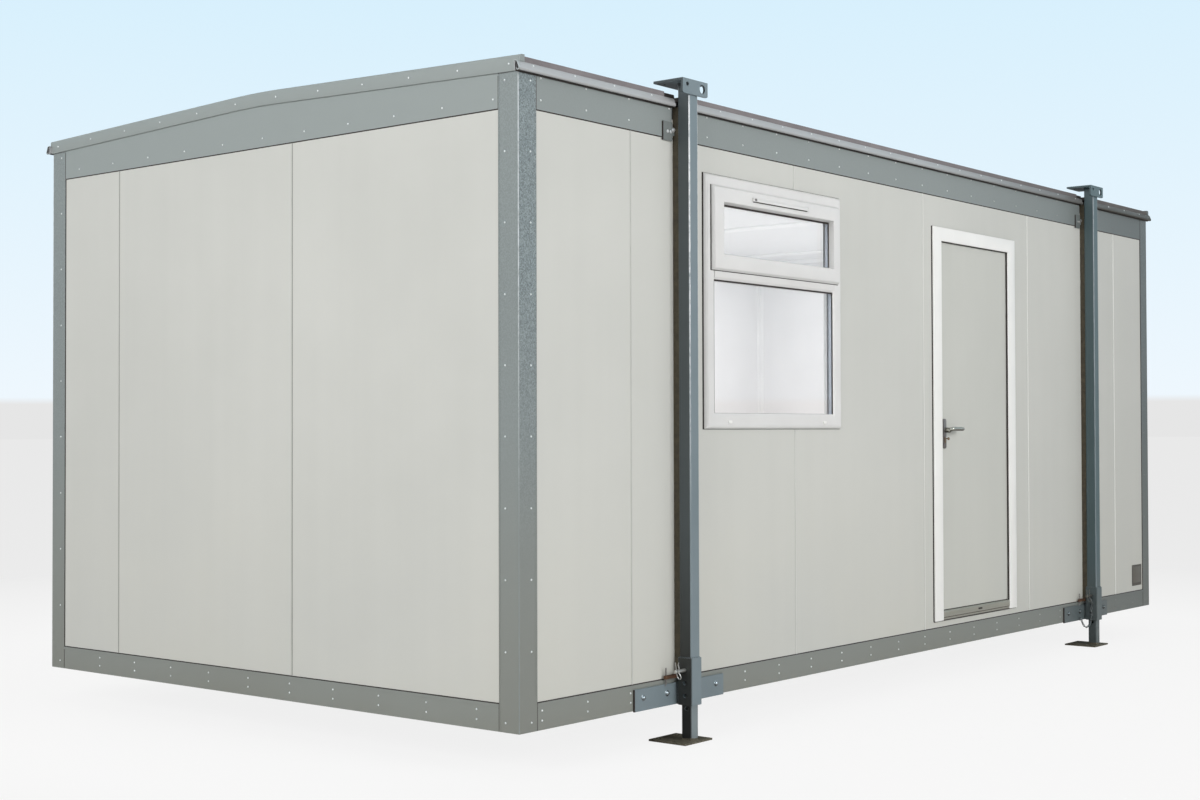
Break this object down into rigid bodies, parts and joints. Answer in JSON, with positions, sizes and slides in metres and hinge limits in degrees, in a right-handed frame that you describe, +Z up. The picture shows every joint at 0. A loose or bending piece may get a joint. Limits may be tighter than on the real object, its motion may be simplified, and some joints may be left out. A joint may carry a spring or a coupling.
{
  "type": "portable site cabin",
  "caption": "Portable site cabin on adjustable jack legs: panelled hollow room with a hinged door, a vented window, folded trims and lifting brackets.",
  "frame": {"origin": "on the ground, under the middle of the cabin's footprint", "axes": "+X along the front to the right as seen from outside, +Y through the cabin from the front to the back, +Z up"},
  "size_m": [6.112, 3.244, 2.761],
  "materials": {
    "panel": "plastic-coated steel sheet, satin",
    "trim": "coated folded steel, satin",
    "underframe": "dark primer",
    "floor": "boarded deck, matt",
    "liner": "white lining sheet, satin",
    "roof": "roof covering, matt",
    "drip": "mill-finish profile",
    "frame_plastic": "white plastic section, satin",
    "glass": "clear double glazing",
    "threshold": "anodised strip",
    "leaf": "plastic-coated steel sheet, satin",
    "hardware": "satin metal",
    "brass": "dull brass",
    "plate": "dark blank plate",
    "leg_paint": "blue-grey paint",
    "pin_steel": "zinc-plated steel",
    "rusty_steel": "rusty steel",
    "packer": "dark brown paint"
  },
  "bodies": {
    "cabin": {"side_beams": "underframe", "cross_beams": "underframe", "floor_deck": "floor", "rear_wall": "panel", "left_wall": "panel", "right_wall": "panel", "window_wall": "panel", "front_wall": "panel", "door_head_panel": "panel", "door_sill_panel": "panel", "corner_trims": "trim", "side_skirts": "trim", "end_skirts": "trim", "side_fascias": "trim", "end_fascias": "trim", "eaves_beams": "underframe", "gable_panels": "panel", "ceiling": "liner", "roof_slab": "roof", "verge_trims": "trim", "eaves_drips": "drip", "window_frame": "frame_plastic", "vent_sash": "frame_plastic", "window_glass": "glass", "trickle_vent": "frame_plastic", "door_frame": "frame_plastic", "door_threshold": "threshold", "frame_hinges": "hardware", "data_plate": "plate", "leg_posts": "leg_paint", "leg_sleeves": "leg_paint", "jack_feet": "leg_paint", "lock_pins": "pin_steel", "keeper_bars": "rusty_steel", "leg_packers": "packer", "clamp_tabs": "leg_paint", "lifting_brackets": "leg_paint"},
    "door": {"door_leaf": "leaf", "handle_plates": "hardware", "lock_cylinder": "brass", "leaf_hinges": "hardware"},
    "lever": {"lever_handle": "hardware"}
  },
  "joints": [
    {"name": "door_hinge", "type": "hinge", "parent": "cabin", "child": "door", "pos_m": [1.0265, -1.448, 1.32], "axis": [0, 0, -1], "range_deg": [0, 110]},
    {"name": "lever_turn", "type": "hinge", "parent": "door", "child": "lever", "pos_m": [0.287, -1.493, 1.296], "axis": [0, 1, 0], "range_deg": [0, 40], "stiffness_Nm_per_rad": 2, "springref_deg": -34.38}
  ]
}
